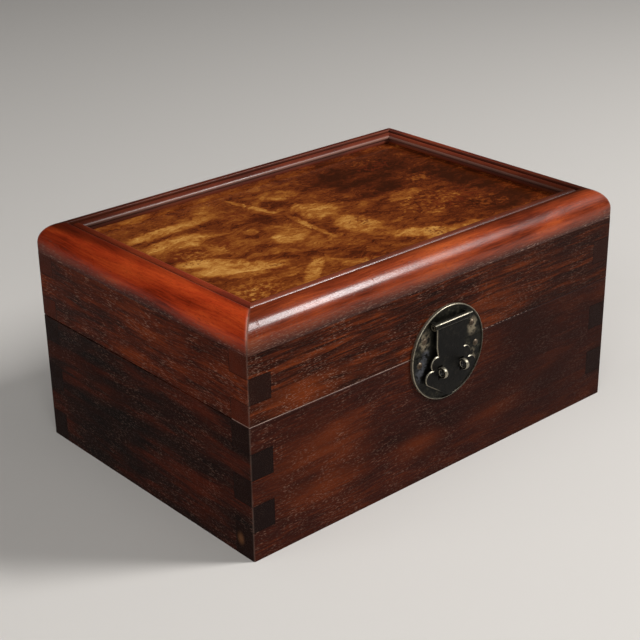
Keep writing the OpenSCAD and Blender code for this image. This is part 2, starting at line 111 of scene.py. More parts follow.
def add_node(tree: bpy.types.NodeTree, kind: str, inputs: dict | tuple = (), **settings: object) -> Node:
    """Adds one node, with its settings and what goes into it.

    Args:
        tree: The node tree that gets the node.
        kind: The node's type without its "ShaderNode", and after a space its operation, if
            it has one, as in "Math MULTIPLY".
        inputs: What goes into it, as in plug_in.
        **settings: Properties of the node itself.

    Returns:
        The new node.
    """
    kind, *operation = kind.split()
    made = tree.nodes.new("ShaderNode" + kind)
    for value in operation:
        made.operation = value
    for name, value in settings.items():
        setattr(made, name, value)
    plug_in(made, inputs)
    return made


def blank_material(name: str) -> tuple[Material, Adder, Node, Node]:
    """Makes a material with nothing in it but its surface shader and the place on the piece.

    Args:
        name: The material's name.

    Returns:
        The material, add_node for its own tree, its Principled shader, and its Texture
        Coordinate node.
    """
    material = bpy.data.materials.new(name)
    material.use_nodes = True
    material.node_tree.nodes.clear()
    add = partial(add_node, material.node_tree)
    surface = add("BsdfPrincipled")
    add("OutputMaterial", {"Surface": surface})
    return material, add, surface, add("TexCoord")


def colour_stops(ramp: Node, stops: list[tuple[float, str]]) -> None:
    """Gives a colour ramp its stops.

    Args:
        ramp: The colour ramp node.
        stops: Positions from 0 to 1 in rising order, each with an sRGB hex colour.
    """
    marks = ramp.color_ramp.elements
    while len(marks) < len(stops):
        marks.new(0.5)
    for mark, (place, colour) in zip(marks, stops):
        mark.position = place
        mark.color = linear(colour)


def lay_coats(add: Adder, ground: Node | Socket | str, coats: list[tuple]) -> Node:
    """Lays colours over a ground, one after another.

    Args:
        add: Adds a node to the material.
        ground: The colour underneath, as an output or an sRGB hex colour.
        coats: For each coat its mask, its strength, which is a number or an output that the
            mask is multiplied by, and its colour, as ground.

    Returns:
        The node that gives the colour on top.
    """
    for mask, strength, tint in coats:
        share = mask if strength == 1 else add("Math MULTIPLY", (mask, strength))
        under, over = (linear(colour) if isinstance(colour, str) else colour for colour in (ground, tint))
        # A colour Mix has its factor at socket 0, and its two colours at 6 and 7
        ground = add("Mix", {0: share, 6: under, 7: over}, data_type="RGBA")
    return ground


def add_up(add: Adder, total: Node | float, layers: list[tuple]) -> Node:
    """Adds layers up, each times its share.

    Args:
        add: Adds a node to the material.
        total: What the sum starts from.
        layers: For each layer its output and its share.

    Returns:
        The node that gives the sum.
    """
    for layer, share in layers:
        total = add("Math MULTIPLY_ADD", (layer, share, total))
    return total


def largest(add: Adder, masks: list[Node]) -> Node:
    """Takes the largest of several masks.

    Args:
        add: Adds a node to the material.
        masks: The masks.

    Returns:
        The node that gives the largest.
    """
    top, *others = masks
    for mask in others:
        top = add("Math MAXIMUM", (top, mask))
    return top


def distance(add: Adder, where: Socket, middle: tuple, plane: tuple) -> Node:
    """Adds the distance from an axis.

    Args:
        add: Adds a node to the material.
        where: The output that gives the place.
        middle: A point on the axis.
        plane: 1 for each of X, Y and Z that lies across the axis, and 0 for the one along it.

    Returns:
        The node that gives the length of (place - middle) times the plane.
    """
    off = add("VectorMath SUBTRACT", (where, middle))
    return add("VectorMath LENGTH", (add("VectorMath MULTIPLY", (off, plane)),))


def grid_faces(rows: int, columns: int, closed_columns: bool = False) -> np.ndarray:
    """Joins a grid of points, whose last row joins on to its first, into four-sided faces.

    Args:
        rows: Number of rows of points.
        columns: Number of points in each row, which is how they follow each other in the list.
        closed_columns: True if each row's last point joins on to its first.

    Returns:
        An array of faces, four point numbers each: (i, j), (i, j + 1), (i + 1, j + 1), (i + 1, j).
    """
    row = np.arange(rows)[:, None]
    column = np.arange(columns if closed_columns else columns - 1)[None, :]
    after, beside = (row + 1) % rows, (column + 1) % columns
    quads = [row * columns + column, row * columns + beside, after * columns + beside, after * columns + column]
    return np.stack(quads, axis=-1).reshape(-1, 4)


def rounded_block(low: tuple, high: tuple, radius: float, steps: int = 4) -> tuple[np.ndarray, list]:
    """Works out a block with rounded edges: a sphere cut along its middle planes and pushed apart.

    A point is the block's middle, plus the signs of its octant times (half size - radius),
    plus the radius times (cos v cos u, cos v sin u, sin v) for longitude u and latitude v.

    Args:
        low: The block's lowest corner.
        high: Its highest corner.
        radius: The radius of its edges.
        steps: Steps in a quarter circle.

    Returns:
        Its points and its faces.
    """
    middle, half = (np.array(low) + high) / 2, (np.array(high) - low) / 2 - radius
    quarter = np.linspace(0, math.pi / 2, steps + 1)
    u = np.concatenate([quarter + k * math.pi / 2 for k in range(4)])[:, None]
    v = np.concatenate([quarter - math.pi / 2, quarter])[None, :]
    signs = (np.repeat([1, -1, -1, 1], steps + 1)[:, None], np.repeat([1, 1, -1, -1], steps + 1)[:, None],
             np.repeat([-1, 1], steps + 1)[None, :])
    ball = (np.cos(v) * np.cos(u), np.cos(v) * np.sin(u), np.sin(v) + 0 * u)
    points = np.stack([m + s * h + radius * b for m, s, h, b in zip(middle, signs, half, ball)], axis=-1)
    rows, columns, _ = points.shape
    faces = grid_faces(rows, columns).tolist()
    pole = np.arange(4) * (steps + 1) * columns
    return points.reshape(-1, 3), faces + [pole.tolist(), (pole + columns - 1).tolist()]


def make_piece(name: str, points: np.ndarray, faces: list, merge: bool = False) -> Piece:
    """Makes a mesh object at the origin from points and faces, shaded smooth up to a crease of 32 degrees.

    Args:
        name: The object's name.
        points: Its points, one row each, in metres.
        faces: Its faces, each a run of point numbers.
        merge: True to merge points that coincide, and then turn every shell's faces outwards.

    Returns:
        The new object.
    """
    mesh = bpy.data.meshes.new(name)
    mesh.from_pydata(points.tolist(), [], faces)
    if merge:
        shell = bmesh.new()
        shell.from_mesh(mesh)
        bmesh.ops.remove_doubles(shell, verts=shell.verts, dist=1e-6)
        bmesh.ops.recalc_face_normals(shell, faces=shell.faces)
        shell.to_mesh(mesh)
        shell.free()
    mesh.validate()
    mesh.shade_smooth()
    mesh.set_sharp_from_angle(angle=math.radians(32))
    piece = bpy.data.objects.new(name, mesh)
    bpy.context.scene.collection.objects.link(piece)
    return piece


def dress(piece: Piece, material: Material) -> None:
    """Gives a piece one material all over.

    Args:
        piece: The new piece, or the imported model's node.
        material: The material.
    """
    slots = piece.data.materials
    for place in range(len(slots)):
        slots[place] = material
    if not slots:
        slots.append(material)
    log.info("dressed %s as %s", piece.name, material.name)


# ---------- finishes


class Grain(Enum):
    """The way the fibres of a board run. The value turns that way onto the pattern's X."""

    ALONG_FRONT = 0.0
    ALONG_SIDE = -math.pi / 2


@dataclass(frozen=True)
class Spot:
    """A soft-edged ellipsoid in a pattern: its middle, half sizes and turn about Z, in millimetres."""

    middle: tuple[float, float, float]
    half: tuple[float, float, float]
    turn_deg: float = 0.0


Spots = tuple[Spot, ...]


def spots_mask(add: Adder, where: Socket | Node, spots: Spots, outer: float = 1.3, inner: float = 0.5) -> Node:
    """Adds the mask of some spots: the largest, over all spots, of a soft step down from inner to outer.

    The step is taken of the length of (place - middle), turned back by the spot's turn and
    divided by its half sizes, so 1 is the edge of the ellipsoid.

    Args:
        add: Adds a node to the material.
        where: The output that gives the place, which a pattern may have bent first.
        spots: The spots.
        outer: Where the mask has come down to 0, in half sizes.
        inner: Where it starts to fall from 1.

    Returns:
        The node that gives the mask.
    """
    masks = []
    for spot in spots:
        middle, half = (tuple(v * MM for v in size) for size in (spot.middle, spot.half))
        turn = (0, 0, math.radians(spot.turn_deg))
        inside = add("Mapping", (where, middle, turn, half), vector_type="TEXTURE")
        masks.append(add("MapRange", (add("VectorMath LENGTH", (inside,)), outer, inner), **SMOOTH))
    return largest(add, masks)


@dataclass(frozen=True)
class Rosewood:
    """What every cut of rosewood shares: the way it was cut and the figure of its grain.

    The shares say how much the fibres, the bands and the clouds of colour each do. A pore's
    length is counted in its own widths.
    """

    name: str
    grain: Grain
    seed: tuple[float, float, float]
    dark: str
    ground: str
    light: str
    fibre_share: float = 0.9
    band_share: float = 1.0
    cloud_share: float = 0.9
    band_width: float = 7 * MM
    pore_width: float = 0.42 * MM
    pore_length: float = 5.5

    def figure(self, add: Adder, here: Socket) -> dict[str, Node]:
        """Adds the figure: fibres that wander by a few millimetres, bands, clouds and pores.

        Args:
            add: Adds a node to the material.
            here: The output that gives the place on the box.

        Returns:
            Nodes by name: "lay" and "bent" are the place in the board, straight and bent with
            the fibres, "tone" is the colour, and "fibre", "band", "cloud" and "pore" are the
            patterns, from 0 to 1.
        """
        lay = add("Mapping", (here, self.seed, (0, 0, self.grain.value)))
        drawn_out = add("VectorMath MULTIPLY", (lay, (0.22, 1, 1)))
        wander = add("TexNoise", {"Vector": drawn_out, "Scale": 1 / (26 * MM), "Detail": 2.0})
        bent = add("VectorMath MULTIPLY_ADD", (wander.outputs["Color"], (0, 11 * MM, 11 * MM), lay))
        wood = {"lay": lay, "bent": bent}
        # How far each layer is drawn out along the fibres, its width across them and its detail
        plan = {"fibre": (0.05, 0.9 * MM, 3.0), "band": (0.13, self.band_width, 3.0),
                "cloud": (0.55, 36 * MM, 2.0), "pore": (1 / self.pore_length, self.pore_width, 1.0)}
        for layer, (draw, width, detail) in plan.items():
            spread = add("VectorMath MULTIPLY", (bent, (draw, 1, 1)))
            wood[layer] = add("TexNoise", {"Vector": spread, "Scale": 1 / width, "Detail": detail})
        shares = {"fibre": self.fibre_share, "band": self.band_share, "cloud": self.cloud_share}
        start = 0.5 - sum(shares.values()) / 2
        total = add_up(add, start, [(wood[layer], share) for layer, share in shares.items()])
        wood["tone"] = add("ValToRGB", (total,))
        colour_stops(wood["tone"], [(0.26, self.dark), (0.5, self.ground), (0.76, self.light)])
        wood["pore"] = add("MapRange", (wood["pore"], 0.59, 0.67), **SMOOTH)
        return wood


@dataclass(frozen=True)
class OiledRosewood(Rosewood):
    """Rosewood, planed, oiled and rubbed: dark streaks, clouds of colour and open pores.

    The pores are dashes about 0.4 mm wide and 2 mm long. Real ones are finer, and these are
    drawn as coarse as they need to be to show. Some are pale, partly where old polish fills
    them and partly as painted glints of light on their edges.
    A face that cuts across the fibres shows near-black end grain with dots for pores.
    A share sets how many of the pale pores are left at the right of the box, as the painted
    glints fade there with the light. The glow is where the colour is lightest, the shade spots
    are painted shade, darkest where the light falls off, and the mark is a pale rubbed patch.
    The joints are the heights of the corner joints' fingers.
    """

    end: str = "#1e110e"
    line_gap: float = 5.5 * MM
    line_strength: float = 0.6
    # How many pores are pale, partly with polish and partly as painted glints, and what share is left at the right
    glint_fleck_share: float = 0.42
    glint_fleck_fade: float = 1.0
    # How much of the seam carries a painted highlight
    seam_highlight_share: float = 0.0
    joints: tuple[float, ...] = ()
    glow: Spots = ()
    # Spots of painted shade, darker where the light falls off
    painted_shade: Spots = ()
    mark: Spots = ()
    # Pale pores: old polish, and painted glints
    glint_fleck: str = PALE_DUST_AND_GLINT
    # The paler colour of the painted highlights on the corners and the seam
    rubbed: str = "#c9aa9a"
    # The dark of the joint lines and of the painted shade in the seam
    joint_dark_and_seam_shade: str = "#0d0605"
    marked: str = "#8a5a38"

    def make(self) -> Material:
        """Builds the material.

        Returns:
            The finished material.
        """
        material, add, surface, place = blank_material(self.name)
        here = place.outputs["Object"]
        wood = self.figure(add, here)
        # Growth lines: rings round the pith, which lies behind the board
        rings = add("TexWave", {"Vector": wood["bent"], "Scale": 2 * math.pi / 20 / self.line_gap},
                    wave_type="RINGS", rings_direction="X")
        line = add("MapRange", (rings.outputs["Fac"], 0.45, 0.0), **SMOOTH)
        coats = [(line, add("MapRange", (wood["band"], 0.35, 0.6, 0.15, self.line_strength)), self.dark)]
        if self.glow:
            broken = add("MapRange", (wood["band"], 0.3, 0.65, 0.1, 0.85))
            coats.append((spots_mask(add, here, self.glow, 1.6, 0.0), broken, self.light))
        # Painted shade: darker where the light falls off
        if self.painted_shade:
            coats.append((spots_mask(add, here, self.painted_shade, 1.2, 0.2), 0.55, self.dark))
        # Pale pores in drifts: polish left in them, and painted glints on their edges, fewer towards the right
        spot = add("SeparateXYZ", (here,))
        drift = add("TexNoise", {"Vector": wood["lay"], "Scale": 1 / (16 * MM), "Detail": 3.0})
        pore_polish_and_glint = add("MapRange", (drift, 0.42, 0.60, 0.25 * self.glint_fleck_share, self.glint_fleck_share), **SMOOTH)
        fade = add("MapRange", (spot.outputs["X"], -90 * MM, 70 * MM, 1.0, self.glint_fleck_fade))
        glint_fleck = add("Math MULTIPLY", (wood["pore"], add("Math MULTIPLY", (pore_polish_and_glint, fade))))
        coats.append((glint_fleck, 1, self.glint_fleck))
        # End grain, where the face looks along the fibres
        facing = add("Mapping", {"Vector": place.outputs["Normal"], "Rotation": (0, 0, self.grain.value)})
        along = add("SeparateXYZ", (facing,))
        cut_end = add("MapRange", (add("Math ABSOLUTE", (along,)), 0.6, 0.9), **SMOOTH)
        coats.append((cut_end, 1, lay_coats(add, self.end, [(drift, 1, self.dark), (glint_fleck, 0.35, self.glint_fleck)])))
        # Painted highlights on the upright corners and along the front seam, painted shade in the rest of the
        # seam, and dark lines in the joints
        edge_highlight, seam_shade = self._edge_highlights_and_seam_shade(add, spot)
        joint_dark_and_seam_shade = largest(add, [self._joint_lines(add, spot), seam_shade]) if self.joints else seam_shade
        coats += [(edge_highlight, add("MapRange", (drift, 0.35, 0.55, 0.5, 1.0)), self.rubbed), (joint_dark_and_seam_shade, 1, self.joint_dark_and_seam_shade)]
        if self.mark:
            coats.append((spots_mask(add, here, self.mark, 1.3, 0.2), drift, self.marked))
        # Nearly matt: the oil has dried in, and a little more of it stays on the dense bands
        satin = add("MapRange", (wood["band"], 0.3, 0.7, 0.36, 0.52))
        # Relief: the fibres stand a little proud, and pores and joint lines sink in
        relief = add_up(add, 0.0, [(wood["fibre"], 0.4), (wood["pore"], -0.8), (joint_dark_and_seam_shade, -1.5)])
        plug_in(surface, {
            "Base Color": lay_coats(add, wood["tone"], coats), "Roughness": add_up(add, satin, [(edge_highlight, -0.12)]),
            "IOR": 1.42, "Specular IOR Level": 0.055,
            "Normal": add("Bump", {"Height": relief, "Distance": 0.1 * MM, "Strength": 0.8})})
        return material

    def _edge_highlights_and_seam_shade(self, add: Adder, spot: Node) -> tuple[Node, Node]:
        """Adds the masks of the painted highlights on the edges, and of the painted shade in the seam.

        The upright corners carry a little painted highlight. The seam carries a painted highlight
        where the board's share says so, up to the lock and in dots a little past it, and painted
        shade elsewhere.

        Args:
            add: Adds a node to the material.
            spot: The node that gives the place on the box as X, Y and Z.

        Returns:
            The node that is 1 on the painted highlights, and the one that is 1 on the painted shade.
        """
        # 1 at the box's outer faces, and 0 from 0.9 mm inside them
        outer = [add("MapRange", (add("Math ABSOLUTE", (spot.outputs[axis],)), half - 0.9 * MM, half - 0.1 * MM))
                 for axis, half in (("X", HALF_W), ("Y", HALF_D))]
        corner = add("Math MULTIPLY", (add("Math MULTIPLY", tuple(outer)), 0.18))
        off_seam = add("Math ABSOLUTE", (add("Math SUBTRACT", (spot.outputs["Z"], SEAM_Z)),))
        near_seam = add("MapRange", (off_seam, 0.26 * MM, 0.16 * MM))
        seam = add("Math MULTIPLY", (near_seam, largest(add, outer)))
        # Along the front the painted highlight is whole up to the lock, then in dots about 2.6 mm apart, to 80 mm
        along = spot.outputs["X"]
        past_lock = add("MapRange", (along, 20 * MM, 34 * MM, 0.0, 0.52))
        handled = add("MapRange", (along, 70 * MM, 80 * MM, self.seam_highlight_share, 0.0), **SMOOTH)
        dashes = add("TexNoise", {"W": along, "Scale": 1 / (2.6 * MM), "Detail": 1.0}, noise_dimensions="1D")
        dotted = add("Math GREATER_THAN", (dashes, past_lock))
        seam_highlight = add("Math MULTIPLY", (seam, add("Math MULTIPLY", (handled, dotted))))
        return largest(add, [corner, seam_highlight]), add("Math SUBTRACT", (seam, seam_highlight))

    def _joint_lines(self, add: Adder, spot: Node) -> Node:
        """Adds the mask of the dark hairlines round the corner joints' fingers, on each board.

        Args:
            add: Adds a node to the material.
            spot: The node that gives the place on the box as X, Y and Z.

        Returns:
            The node that is 1 on the lines and 0 elsewhere.
        """
        wide, deep = (add("Math ABSOLUTE", (spot.outputs[axis],)) for axis in "XY")
        corner = add("Math MULTIPLY", (add("Math GREATER_THAN", (wide, HALF_W - BOARD - 0.2 * MM)),
                                       add("Math GREATER_THAN", (deep, HALF_D - BOARD - 0.2 * MM))))
        height = spot.outputs["Z"]
        lines = [add("Math COMPARE", (height, joint, HAIRLINE)) for joint in self.joints[1:-1]]
        # Side boards' fingers show their ends on the front, and front boards' on the sides, in turn
        for turn, (low, high) in enumerate(zip(self.joints, self.joints[1:])):
            across, edge = (wide, HALF_W - BOARD) if turn % 2 else (deep, HALF_D - BOARD)
            level = add("Math COMPARE", (height, (low + high) / 2, (high - low) / 2))
            lines.append(add("Math MULTIPLY", (level, add("Math COMPARE", (across, edge, HAIRLINE)))))
        return add("Math MULTIPLY", (largest(add, lines), corner))


@dataclass(frozen=True)
class PolishedRosewood(Rosewood):
    """Rosewood, sanded fine and polished to a hard gloss: warm, clear and slightly uneven.

    The polish lies over the pores, so only their dark dashes show through. The arrises and
    mitres are paler, partly rubbed and partly a painted highlight, and the lip of all but the
    front rail carries a painted reflection. The quirk, the mouldings and the foot are darker,
    by dirtiness, by the quirk's painted shadow and by painted shade, and the pores near the
    foot ("dust") hold pale dust like those of the boards below. A knock is a dent.
    """

    # The paler colour of rubbed arrises, of painted highlights and of the lip's painted reflection
    rubbed: str = "#c49c8c"
    gloss: float = 0.09
    # The dark colour of dirtiness, of the quirk's painted shadow and of painted shade
    grime: str = "#1c0803"
    dust: str = PALE_DUST_AND_GLINT
    knock: Spots = ()

    def make(self) -> Material:
        """Builds the material.

        Returns:
            The finished material.
        """
        material, add, surface, place = blank_material(self.name)
        wood = self.figure(add, place.outputs["Object"])
        # Per-point amounts from the rail: pale (rubbing and painted highlight), dark (dirtiness, painted shadow
        # and painted shade) and dusty
        worn, grime, dust = (add("Attribute", attribute_name=name).outputs["Fac"]
                             for name in ("worn", "grime", "dust"))
        dusty = add("Math MULTIPLY", (dust, wood["pore"]))
        colour = lay_coats(add, wood["tone"], [(wood["pore"], 0.45, self.dark), (worn, 0.6, self.rubbed),
                                               (grime, 0.93, self.grime), (dusty, 0.36, self.dust)])
        # The hand-rubbed surface is not quite true, so highlights wobble
        wave_lay = add("VectorMath MULTIPLY", (wood["lay"], (0.35, 1, 1)))
        wave = add("TexNoise", {"Vector": wave_lay, "Scale": 1 / (5 * MM), "Detail": 1.0})
        pitted = add("TexNoise", {"Vector": wood["lay"], "Scale": 1 / (0.8 * MM), "Detail": 1.0})
        relief = [(wood["pore"], -0.20), (pitted, 0.30)]
        if self.knock:
            relief.append((spots_mask(add, place.outputs["Object"], self.knock, 1.0, 0.0), -2.4))
        plug_in(surface, {
            "Base Color": colour, "Roughness": add("MapRange", (wood["cloud"], 0.3, 0.7, 0.24, 0.31)), "IOR": 1.45,
            "Specular IOR Level": self.gloss, "Coat Weight": 0.45 * self.gloss, "Coat Roughness": 0.12,
            "Normal": add("Bump", {"Height": add_up(add, wave, relief), "Distance": 0.11 * MM, "Strength": 0.5})})
        return material


@dataclass(frozen=True)
class PolishedBurl:
    """Burl, cut across its knots and polished: gold on brown, with clusters of dark red buds.

    Gold, dark and budded patches lie where the cutter found them, a few of them cut off
    sharply, and pale eyes show in the dim brown of the far right, which is partly the wood's
    own colour and partly painted shade.
    """

    name: str
    gold: Spots
    shade: Spots
    wedge: Spots
    budded: Spots
    eyed: Spots
    bud: str = "#5e220c"
    tones: tuple[tuple[float, str], ...] = ((0.05, "#331304"), (0.24, "#501f09"), (0.42, "#713612"),
                                            (0.6, "#925620"), (0.78, "#b67f3c"), (1.0, "#cf9e5a"))

    def make(self) -> Material:
        """Builds the material.

        Returns:
            The finished material.
        """
        material, add, surface, place = blank_material(self.name)
        here = place.outputs["Object"]
        # Bends, one inside the other: the small ones fray the patches, the large one folds the figure
        bends = [here]
        for width, reach in ((7 * MM, 7 * MM), (30 * MM, 26 * MM)):
            curl = add("TexNoise", {"Vector": bends[-1], "Scale": 1 / width, "Detail": 5.0, "Roughness": 0.6})
            middle = add("VectorMath SUBTRACT", (curl.outputs["Color"], (0.5, 0.5, 0.5)))
            bends.append(add("VectorMath MULTIPLY_ADD", (middle, (reach, reach, 0), bends[-1])))
        frayed, folded = bends[1:]
        # The wood's tone falls to the far right, partly its own colour and partly painted shade, and patches make
        # it lighter or deeper
        spot = add("SeparateXYZ", (here,))
        side = add("Math MULTIPLY_ADD", (spot.outputs["Y"], 0.4, spot.outputs["X"]))
        tone_with_painted_shade = add("MapRange", (side, -60 * MM, 100 * MM, 0.44, 0.25), **SMOOTH)
        parts = [(spots_mask(add, frayed, self.gold, 1.15, 0.65), 0.24),
                 (spots_mask(add, frayed, self.shade, 1.2, 0.55), -0.16),
                 (spots_mask(add, here, self.wedge, 1.05, 0.9), -0.15)]
        # The figure: ragged mottle, drawn-out fibres that follow the folds, and short flecks
        layers = []
        for source, draw, width, detail, share in (
                (folded, 0.6, 11 * MM, 8.0, 1.05), (folded, 0.16, 1.3 * MM, 4.0, 0.6),
                (frayed, 0.7, 1.9 * MM, 3.0, 0.4)):
            spread = add("VectorMath MULTIPLY", (source, (draw, 1, 1)))
            layers.append(add("TexNoise", {"Vector": spread, "Scale": 1 / width, "Detail": detail,
                                           "Roughness": 0.62}))
            parts.append((add("Math SUBTRACT", (layers[-1], 0.5)), share))
        mottle = layers[0]
        # Buds and eyes: specks a few millimetres across, crowded into clusters, of every size
        specks = []
        for clusters, width in ((self.budded, 2.9 * MM), (self.eyed, 3.4 * MM)):
            grainy = add("TexNoise", {"Vector": here, "Scale": 1 / width, "Detail": 3.0, "Roughness": 0.6})
            edge = add("MapRange", (spots_mask(add, frayed, clusters, 1.3, 0.4), 0.0, 1.0, 0.72, 0.49))
            specks.append(add("MapRange", (add("Math SUBTRACT", (grainy, edge)), 0.0, 0.07), **SMOOTH))
        buds, eyes = specks
        tone = add("ValToRGB", (add_up(add, tone_with_painted_shade, parts + [(eyes, 0.19)]),))
        colour_stops(tone, self.tones)
        plug_in(surface, {
            "Base Color": lay_coats(add, tone, [(buds, 0.72, self.bud)]),
            "Roughness": add("MapRange", (mottle, 0.3, 0.7, 0.26, 0.2)),
            "IOR": 1.45, "Specular IOR Level": 0.14, "Coat Weight": 0.05, "Coat Roughness": 0.1,
            "Normal": add("Bump", {"Height": mottle, "Distance": 0.12 * MM, "Strength": 0.4})})
        return material


@dataclass(frozen=True)
class PatinatedBrass:
    """Brass, cut from sheet, blackened by age and rubbed to bare metal where hands reach it.

    The flat faces hold a mottled olive-black patina. Bevels, which look sideways, are pale
    dull grey-gold, partly metal rubbed bare and partly painted highlight, and so are a plate's
    raised rim, the edges at its split and the edges of rings that look along X. Patches where a
    finger or the swinging hasp has rubbed are paler metal. None of the pale shows where the
    patina is sound, and bluish spots are a painted reflection on the metal.
    The rim is its middle's X and Z and its radius, and a ring is its middle's Y and Z and
    its radius.
    """

    name: str
    patina: str = "#191712"
    mottle: str = "#2f2c22"
    bright: str = "#a39b88"
    patch: str = "#84724f"
    # The bluish grey of a painted reflection
    reflection_tint: str = "#52545a"
    # How pale the bevels are: rubbed metal and painted highlight
    edge_wear_and_highlight: float = 0.8
    scuff: float = 0.2
    rim: tuple[float, float, float] | None = None
    split: float | None = None
    rings: tuple[tuple[float, float, float], ...] = ()
    rings_all_round: bool = False
    rubbed: Spots = ()
    # Spots of painted reflection
    reflection_spots: Spots = ()
    sound: Spots = ()

    def make(self) -> Material:
        """Builds the material.

        Returns:
            The finished material.
        """
        material, add, surface, place = blank_material(self.name)
        here = place.outputs["Object"]
        mottle = add("TexNoise", {"Vector": here, "Scale": 1 / (3.5 * MM), "Detail": 5.0, "Roughness": 0.65})
        pitting = add("TexNoise", {"Vector": here, "Scale": 1 / (0.8 * MM), "Detail": 2.0})
        coats = [(add("MapRange", (mottle, 0.42, 0.66), **SMOOTH), 1, self.mottle)]
        grains = add("MapRange", (mottle, 0.44, 0.56))
        # Bluish painted reflections, and paler patches rubbed by fingers and the hasp
        for spots, tint in ((self.reflection_spots, self.reflection_tint), (self.rubbed, self.patch)):
            if spots:
                coats.append((spots_mask(add, here, spots), grains, tint))
        # Bare, pale metal: rubbed edges and scuffs, and painted highlights
        wear_and_highlight = self._worn_and_highlit_parts(add, place, mottle)
        if self.sound:
            kept = spots_mask(add, here, self.sound, 1.2, 0.7)
            wear_and_highlight = add("Math MULTIPLY", (wear_and_highlight, add("Math SUBTRACT", (1.0, kept))))
        wear_and_highlight = add("Math MULTIPLY", (wear_and_highlight, add("MapRange", (pitting, 0.30, 0.60, 0.6, 1.0))))
        coats.append((wear_and_highlight, 1, self.bright))
        dull = add("MapRange", (wear_and_highlight, 0.0, 1.0, 0.46, 0.30))
        plug_in(surface, {
            "Base Color": lay_coats(add, self.patina, coats), "Metallic": 0.85,
            "Roughness": add_up(add, dull, [(pitting, 0.12)]),
            "Normal": add("Bump", {"Height": add_up(add, pitting, [(mottle, 2.2)]), "Distance": 0.1 * MM,
                                   "Strength": 0.6})})
        return material

    def _worn_and_highlit_parts(self, add: Adder, place: Node, mottle: Node) -> Node:
        """Adds the mask of the pale parts: scuffs, and bevels, the rim, the split and the edges of rings, partly
        rubbed bare and partly painted highlight.

        Args:
            add: Adds a node to the material.
            place: Its Texture Coordinate node.
            mottle: The mottled pattern of the patina.

        Returns:
            The node that is 1 on bare metal and painted highlight, and 0 on sound patina.
        """
        here = place.outputs["Object"]
        facing = add("SeparateXYZ", (place.outputs["Normal"],))
        sideways, flat = (add("Math ABSOLUTE", (facing.outputs[axis],)) for axis in "XY")
        bevel = add("MapRange", (flat, 0.83, 0.75, 0.0, self.edge_wear_and_highlight), **SMOOTH)
        steep = add("MapRange", (flat, 0.58, 0.67, 0.1, 1.0), **SMOOTH)
        masks = [add("Math MULTIPLY", (bevel, steep)),
                 add("MapRange", (mottle, 0.58, 0.74, 0.0, self.scuff), **SMOOTH)]
        if self.rim is not None:
            across, height, radius = self.rim
            reach = distance(add, here, (across, 0, height), (1, 0, 1))
            masks.append(add("MapRange", (reach, radius - 0.2 * MM, radius + 0.2 * MM), **SMOOTH))
        if self.split is not None:
            height = add("SeparateXYZ", (here,)).outputs["Z"]
            masks.append(add("Math COMPARE", (height, self.split, 0.18 * MM)))
        for depth, height, radius in self.rings:
            near = add("Math COMPARE", (distance(add, here, (0, depth, height), (0, 1, 1)), radius, 0.21 * MM))
            masks.append(near if self.rings_all_round else add("Math MULTIPLY", (near, sideways)))
        return largest(add, masks)


@dataclass(frozen=True)
class PaintedFloor:
    """A plain pale floor of matt paint, with the faintest roller texture."""

    name: str = "matt painted floor"
    colour: str = "#c9c5c0"

    def make(self) -> Material:
        """Builds the material.

        Returns:
            The finished material.
        """
        material, add, surface, place = blank_material(self.name)
        roller = add("TexNoise", {"Vector": place.outputs["Object"], "Scale": 1 / (1.5 * MM)})
        plug_in(surface, {
            "Base Color": linear(self.colour), "Roughness": 0.85, "Specular IOR Level": 0.2,
            "Normal": add("Bump", {"Height": roller, "Distance": 0.05 * MM, "Strength": 0.3})})
        return material


# ---------- the box


